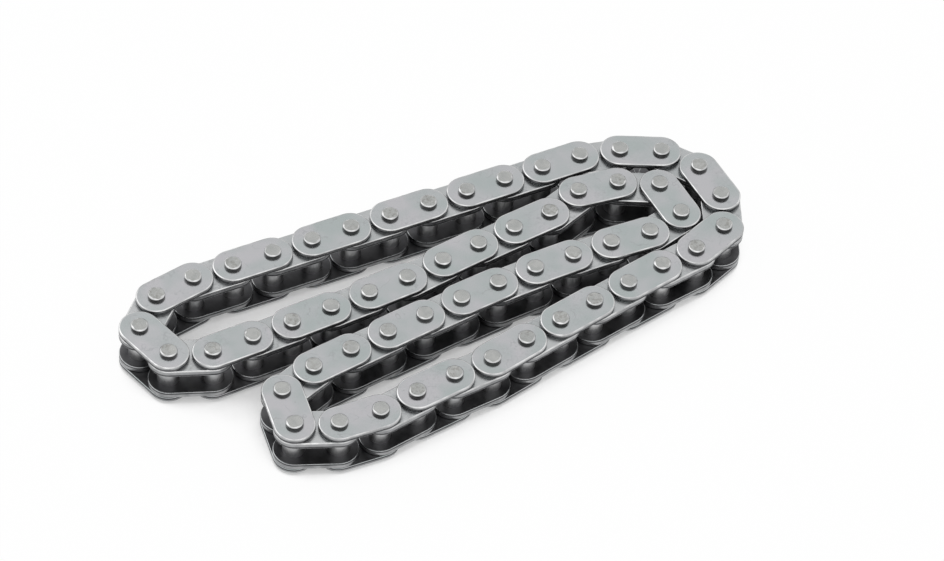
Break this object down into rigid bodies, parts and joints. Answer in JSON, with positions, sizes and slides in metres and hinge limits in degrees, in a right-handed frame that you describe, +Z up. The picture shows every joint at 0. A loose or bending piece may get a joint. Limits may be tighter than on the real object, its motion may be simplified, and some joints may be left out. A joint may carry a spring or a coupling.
{
  "type": "oil pump chain",
  "caption": "Endless riveted bush chain that drives an oil pump, lying on its side folded in two, with outer links on pins and inner links on bushes.",
  "frame": {"origin": "under the middle of the folded loop, on the surface it lies on", "axes": "+X along the rows of links, towards the end where the chain turns back; +Y across the rows, towards the straight back row; +Z up, along the pins"},
  "size_m": [0.1432, 0.0606, 0.0131],
  "materials": {
    "outer_link": "satin",
    "inner_link": "satin",
    "outer_plate": "satin",
    "inner_plate": "satin",
    "pin": "satin",
    "bush": "satin"
  },
  "bodies": {
    "outer_link_01": {"outer_link_01_lower_plate": "outer_plate", "outer_link_01_upper_plate": "outer_plate", "outer_link_01_pins": "pin"},
    "inner_link_01": {"inner_link_01_lower_plate": "inner_plate", "inner_link_01_upper_plate": "inner_plate", "inner_link_01_bushes": "bush"},
    "outer_link_02": {"outer_link_02": "outer_link"},
    "inner_link_02": {"inner_link_02": "inner_link"},
    "outer_link_03": {"outer_link_03": "outer_link"},
    "inner_link_03": {"inner_link_03": "inner_link"},
    "outer_link_04": {"outer_link_04": "outer_link"},
    "inner_link_04": {"inner_link_04": "inner_link"},
    "outer_link_05": {"outer_link_05": "outer_link"},
    "inner_link_05": {"inner_link_05": "inner_link"},
    "outer_link_06": {"outer_link_06": "outer_link"},
    "inner_link_06": {"inner_link_06": "inner_link"},
    "outer_link_07": {"outer_link_07": "outer_link"},
    "inner_link_07": {"inner_link_07": "inner_link"},
    "outer_link_08": {"outer_link_08": "outer_link"},
    "inner_link_08": {"inner_link_08": "inner_link"},
    "outer_link_09": {"outer_link_09": "outer_link"},
    "inner_link_09": {"inner_link_09": "inner_link"},
    "outer_link_10": {"outer_link_10": "outer_link"},
    "inner_link_10": {"inner_link_10": "inner_link"},
    "outer_link_11": {"outer_link_11": "outer_link"},
    "inner_link_11": {"inner_link_11": "inner_link"},
    "outer_link_12": {"outer_link_12": "outer_link"},
    "inner_link_12": {"inner_link_12": "inner_link"},
    "outer_link_13": {"outer_link_13": "outer_link"},
    "inner_link_13": {"inner_link_13": "inner_link"},
    "outer_link_14": {"outer_link_14": "outer_link"},
    "inner_link_14": {"inner_link_14": "inner_link"},
    "outer_link_15": {"outer_link_15": "outer_link"},
    "inner_link_15": {"inner_link_15": "inner_link"},
    "outer_link_16": {"outer_link_16": "outer_link"},
    "inner_link_16": {"inner_link_16": "inner_link"},
    "outer_link_17": {"outer_link_17": "outer_link"},
    "inner_link_17": {"inner_link_17": "inner_link"},
    "outer_link_18": {"outer_link_18": "outer_link"},
    "inner_link_18": {"inner_link_18": "inner_link"},
    "outer_link_19": {"outer_link_19": "outer_link"},
    "inner_link_19": {"inner_link_19": "inner_link"},
    "outer_link_20": {"outer_link_20": "outer_link"},
    "inner_link_20": {"inner_link_20": "inner_link"},
    "outer_link_21": {"outer_link_21": "outer_link"},
    "inner_link_21": {"inner_link_21": "inner_link"},
    "outer_link_22": {"outer_link_22": "outer_link"},
    "inner_link_22": {"inner_link_22": "inner_link"},
    "outer_link_23": {"outer_link_23": "outer_link"},
    "inner_link_23": {"inner_link_23": "inner_link"},
    "outer_link_24": {"outer_link_24": "outer_link"},
    "inner_link_24": {"inner_link_24": "inner_link"},
    "outer_link_25": {"outer_link_25": "outer_link"},
    "inner_link_25": {"inner_link_25": "inner_link"},
    "outer_link_26": {"outer_link_26": "outer_link"},
    "inner_link_26": {"inner_link_26": "inner_link"},
    "outer_link_27": {"outer_link_27": "outer_link"},
    "inner_link_27": {"inner_link_27": "inner_link"},
    "outer_link_28": {"outer_link_28": "outer_link"},
    "inner_link_28": {"inner_link_28": "inner_link"}
  },
  "joints": [
    {"name": "pivot_02", "type": "hinge", "parent": "outer_link_01", "child": "inner_link_01", "pos_m": [0.0562, 0.00229, 0.00657], "axis": [0, 0, 1], "range_deg": [-60, 0]},
    {"name": "pivot_03", "type": "hinge", "parent": "inner_link_01", "child": "outer_link_02", "pos_m": [0.048, 0.00713, 0.00657], "axis": [0, 0, 1], "range_deg": [0, 60]},
    {"name": "pivot_04", "type": "hinge", "parent": "outer_link_02", "child": "inner_link_02", "pos_m": [0.03864, 0.00892, 0.00657], "axis": [0, 0, 1], "range_deg": [-60, 0]},
    {"name": "pivot_05", "type": "hinge", "parent": "inner_link_02", "child": "outer_link_03", "pos_m": [0.02948, 0.00632, 0.00657], "axis": [0, 0, 1], "range_deg": [0, 60]},
    {"name": "pivot_06", "type": "hinge", "parent": "outer_link_03", "child": "inner_link_03", "pos_m": [0.01996, 0.00598, 0.00657], "axis": [0, 0, 1], "range_deg": [-60, 0]},
    {"name": "pivot_07", "type": "hinge", "parent": "inner_link_03", "child": "outer_link_04", "pos_m": [0.01045, 0.00551, 0.00657], "axis": [0, 0, 1], "range_deg": [0, 60]},
    {"name": "pivot_08", "type": "hinge", "parent": "outer_link_04", "child": "inner_link_04", "pos_m": [0.00094, 0.0049, 0.00657], "axis": [0, 0, 1], "range_deg": [-60, 0]},
    {"name": "pivot_09", "type": "hinge", "parent": "inner_link_04", "child": "outer_link_05", "pos_m": [-0.00855, 0.00416, 0.00657], "axis": [0, 0, 1], "range_deg": [0, 60]},
    {"name": "pivot_10", "type": "hinge", "parent": "outer_link_05", "child": "inner_link_05", "pos_m": [-0.01808, 0.00423, 0.00657], "axis": [0, 0, 1], "range_deg": [-60, 0]},
    {"name": "pivot_11", "type": "hinge", "parent": "inner_link_05", "child": "outer_link_06", "pos_m": [-0.0276, 0.00439, 0.00657], "axis": [0, 0, 1], "range_deg": [0, 60]},
    {"name": "pivot_12", "type": "hinge", "parent": "outer_link_06", "child": "inner_link_06", "pos_m": [-0.03712, 0.00462, 0.00657], "axis": [0, 0, 1], "range_deg": [-60, 0]},
    {"name": "pivot_13", "type": "hinge", "parent": "inner_link_06", "child": "outer_link_07", "pos_m": [-0.04664, 0.00494, 0.00657], "axis": [0, 0, 1], "range_deg": [0, 60]},
    {"name": "pivot_14", "type": "hinge", "parent": "outer_link_07", "child": "inner_link_07", "pos_m": [-0.05616, 0.00535, 0.00657], "axis": [0, 0, 1], "range_deg": [0, 20]},
    {"name": "pivot_15", "type": "hinge", "parent": "inner_link_07", "child": "outer_link_08", "pos_m": [-0.06482, 0.00931, 0.00657], "axis": [0, 0, 1], "range_deg": [0, 50]},
    {"name": "pivot_16", "type": "hinge", "parent": "outer_link_08", "child": "inner_link_08", "pos_m": [-0.06709, 0.01856, 0.00657], "axis": [0, 0, 1], "range_deg": [0, 60]},
    {"name": "pivot_17", "type": "hinge", "parent": "inner_link_08", "child": "outer_link_09", "pos_m": [-0.05985, 0.02475, 0.00657], "axis": [0, 0, 1], "range_deg": [0, 35]},
    {"name": "pivot_18", "type": "hinge", "parent": "outer_link_09", "child": "inner_link_09", "pos_m": [-0.05038, 0.02575, 0.00657], "axis": [0, 0, 1], "range_deg": [0, 20]},
    {"name": "pivot_19", "type": "hinge", "parent": "inner_link_09", "child": "outer_link_10", "pos_m": [-0.04088, 0.02498, 0.00657], "axis": [0, 0, 1], "range_deg": [0, 20]},
    {"name": "pivot_20", "type": "hinge", "parent": "outer_link_10", "child": "inner_link_10", "pos_m": [-0.03139, 0.02422, 0.00657], "axis": [0, 0, 1], "range_deg": [0, 20]},
    {"name": "pivot_21", "type": "hinge", "parent": "inner_link_10", "child": "outer_link_11", "pos_m": [-0.02189, 0.02345, 0.00657], "axis": [0, 0, 1], "range_deg": [0, 20]},
    {"name": "pivot_22", "type": "hinge", "parent": "outer_link_11", "child": "inner_link_11", "pos_m": [-0.0124, 0.02268, 0.00657], "axis": [0, 0, 1], "range_deg": [0, 20]},
    {"name": "pivot_23", "type": "hinge", "parent": "inner_link_11", "child": "outer_link_12", "pos_m": [-0.00291, 0.02192, 0.00657], "axis": [0, 0, 1], "range_deg": [0, 20]},
    {"name": "pivot_24", "type": "hinge", "parent": "outer_link_12", "child": "inner_link_12", "pos_m": [0.00659, 0.02115, 0.00657], "axis": [0, 0, 1], "range_deg": [0, 20]},
    {"name": "pivot_25", "type": "hinge", "parent": "inner_link_12", "child": "outer_link_13", "pos_m": [0.01608, 0.02039, 0.00657], "axis": [0, 0, 1], "range_deg": [0, 20]},
    {"name": "pivot_26", "type": "hinge", "parent": "outer_link_13", "child": "inner_link_13", "pos_m": [0.02558, 0.01962, 0.00657], "axis": [0, 0, 1], "range_deg": [0, 20]},
    {"name": "pivot_27", "type": "hinge", "parent": "inner_link_13", "child": "outer_link_14", "pos_m": [0.03507, 0.01885, 0.00657], "axis": [0, 0, 1], "range_deg": [0, 20]},
    {"name": "pivot_28", "type": "hinge", "parent": "outer_link_14", "child": "inner_link_14", "pos_m": [0.04457, 0.01809, 0.00657], "axis": [0, 0, 1], "range_deg": [0, 25]},
    {"name": "pivot_29", "type": "hinge", "parent": "inner_link_14", "child": "outer_link_15", "pos_m": [0.05371, 0.01542, 0.00657], "axis": [0, 0, 1], "range_deg": [0, 30]},
    {"name": "pivot_30", "type": "hinge", "parent": "outer_link_15", "child": "inner_link_15", "pos_m": [0.062, 0.01074, 0.00657], "axis": [0, 0, 1], "range_deg": [0, 45]},
    {"name": "pivot_31", "type": "hinge", "parent": "inner_link_15", "child": "outer_link_16", "pos_m": [0.06709, 0.00269, 0.00657], "axis": [0, 0, 1], "range_deg": [0, 60]},
    {"name": "pivot_01", "type": "hinge", "parent": "outer_link_01", "child": "inner_link_28", "pos_m": [0.05592, -0.00723, 0.00657], "axis": [0, 0, 1], "range_deg": [0, 30]},
    {"name": "pivot_56", "type": "hinge", "parent": "inner_link_28", "child": "outer_link_28", "pos_m": [0.04655, -0.0089, 0.00657], "axis": [0, 0, 1], "range_deg": [-30, 0]},
    {"name": "pivot_55", "type": "hinge", "parent": "outer_link_28", "child": "inner_link_27", "pos_m": [0.03709, -0.00771, 0.00657], "axis": [0, 0, 1], "range_deg": [0, 30]},
    {"name": "pivot_54", "type": "hinge", "parent": "inner_link_27", "child": "outer_link_27", "pos_m": [0.02761, -0.00688, 0.00657], "axis": [0, 0, 1], "range_deg": [-30, 0]},
    {"name": "pivot_53", "type": "hinge", "parent": "outer_link_27", "child": "inner_link_26", "pos_m": [0.01809, -0.00641, 0.00657], "axis": [0, 0, 1], "range_deg": [0, 30]},
    {"name": "pivot_52", "type": "hinge", "parent": "inner_link_26", "child": "outer_link_26", "pos_m": [0.00857, -0.0063, 0.00657], "axis": [0, 0, 1], "range_deg": [-30, 0]},
    {"name": "pivot_51", "type": "hinge", "parent": "outer_link_26", "child": "inner_link_25", "pos_m": [-0.00095, -0.00654, 0.00657], "axis": [0, 0, 1], "range_deg": [0, 30]},
    {"name": "pivot_50", "type": "hinge", "parent": "inner_link_25", "child": "outer_link_25", "pos_m": [-0.01047, -0.00696, 0.00657], "axis": [0, 0, 1], "range_deg": [-30, 0]},
    {"name": "pivot_49", "type": "hinge", "parent": "outer_link_25", "child": "inner_link_24", "pos_m": [-0.01998, -0.00743, 0.00657], "axis": [0, 0, 1], "range_deg": [0, 30]},
    {"name": "pivot_48", "type": "hinge", "parent": "inner_link_24", "child": "outer_link_24", "pos_m": [-0.02949, -0.00795, 0.00657], "axis": [0, 0, 1], "range_deg": [-30, 0]},
    {"name": "pivot_47", "type": "hinge", "parent": "outer_link_24", "child": "inner_link_23", "pos_m": [-0.039, -0.00853, 0.00657], "axis": [0, 0, 1], "range_deg": [-20, 0]},
    {"name": "pivot_46", "type": "hinge", "parent": "inner_link_23", "child": "outer_link_23", "pos_m": [-0.04815, -0.01119, 0.00657], "axis": [0, 0, 1], "range_deg": [-60, 0]},
    {"name": "pivot_45", "type": "hinge", "parent": "outer_link_23", "child": "inner_link_22", "pos_m": [-0.05016, -0.0205, 0.00657], "axis": [0, 0, 1], "range_deg": [-75, 0]},
    {"name": "pivot_44", "type": "hinge", "parent": "inner_link_22", "child": "outer_link_22", "pos_m": [-0.04157, -0.02461, 0.00657], "axis": [0, 0, 1], "range_deg": [-20, 0]},
    {"name": "pivot_43", "type": "hinge", "parent": "outer_link_22", "child": "inner_link_21", "pos_m": [-0.03212, -0.02575, 0.00657], "axis": [0, 0, 1], "range_deg": [-20, 0]},
    {"name": "pivot_42", "type": "hinge", "parent": "inner_link_21", "child": "outer_link_21", "pos_m": [-0.02263, -0.02492, 0.00657], "axis": [0, 0, 1], "range_deg": [-20, 0]},
    {"name": "pivot_41", "type": "hinge", "parent": "outer_link_21", "child": "inner_link_20", "pos_m": [-0.01311, -0.02446, 0.00657], "axis": [0, 0, 1], "range_deg": [-20, 0]},
    {"name": "pivot_40", "type": "hinge", "parent": "inner_link_20", "child": "outer_link_20", "pos_m": [-0.00359, -0.02437, 0.00657], "axis": [0, 0, 1], "range_deg": [-20, 0]},
    {"name": "pivot_39", "type": "hinge", "parent": "outer_link_20", "child": "inner_link_19", "pos_m": [0.00584, -0.02306, 0.00657], "axis": [0, 0, 1], "range_deg": [-20, 0]},
    {"name": "pivot_38", "type": "hinge", "parent": "inner_link_19", "child": "outer_link_19", "pos_m": [0.01529, -0.02182, 0.00657], "axis": [0, 0, 1], "range_deg": [-20, 0]},
    {"name": "pivot_37", "type": "hinge", "parent": "outer_link_19", "child": "inner_link_18", "pos_m": [0.02474, -0.02067, 0.00657], "axis": [0, 0, 1], "range_deg": [-20, 0]},
    {"name": "pivot_36", "type": "hinge", "parent": "inner_link_18", "child": "outer_link_18", "pos_m": [0.03421, -0.0196, 0.00657], "axis": [0, 0, 1], "range_deg": [-20, 0]},
    {"name": "pivot_35", "type": "hinge", "parent": "outer_link_18", "child": "inner_link_17", "pos_m": [0.04368, -0.01861, 0.00657], "axis": [0, 0, 1], "range_deg": [-20, 0]},
    {"name": "pivot_34", "type": "hinge", "parent": "inner_link_17", "child": "outer_link_17", "pos_m": [0.05318, -0.01795, 0.00657], "axis": [0, 0, 1], "range_deg": [-45, 0]},
    {"name": "pivot_33", "type": "hinge", "parent": "outer_link_17", "child": "inner_link_16", "pos_m": [0.0623, -0.01519, 0.00657], "axis": [0, 0, 1], "range_deg": [-60, 0]}
  ],
  "couplings": [
    {"joint": "pivot_03", "follows": "pivot_02", "ratio": -1},
    {"joint": "pivot_05", "follows": "pivot_04", "ratio": -1},
    {"joint": "pivot_07", "follows": "pivot_06", "ratio": -1},
    {"joint": "pivot_09", "follows": "pivot_08", "ratio": -1},
    {"joint": "pivot_11", "follows": "pivot_10", "ratio": -1},
    {"joint": "pivot_13", "follows": "pivot_12", "ratio": -1},
    {"joint": "pivot_56", "follows": "pivot_01", "ratio": -1},
    {"joint": "pivot_54", "follows": "pivot_55", "ratio": -1},
    {"joint": "pivot_52", "follows": "pivot_53", "ratio": -1},
    {"joint": "pivot_50", "follows": "pivot_51", "ratio": -1},
    {"joint": "pivot_48", "follows": "pivot_49", "ratio": -1}
  ]
}
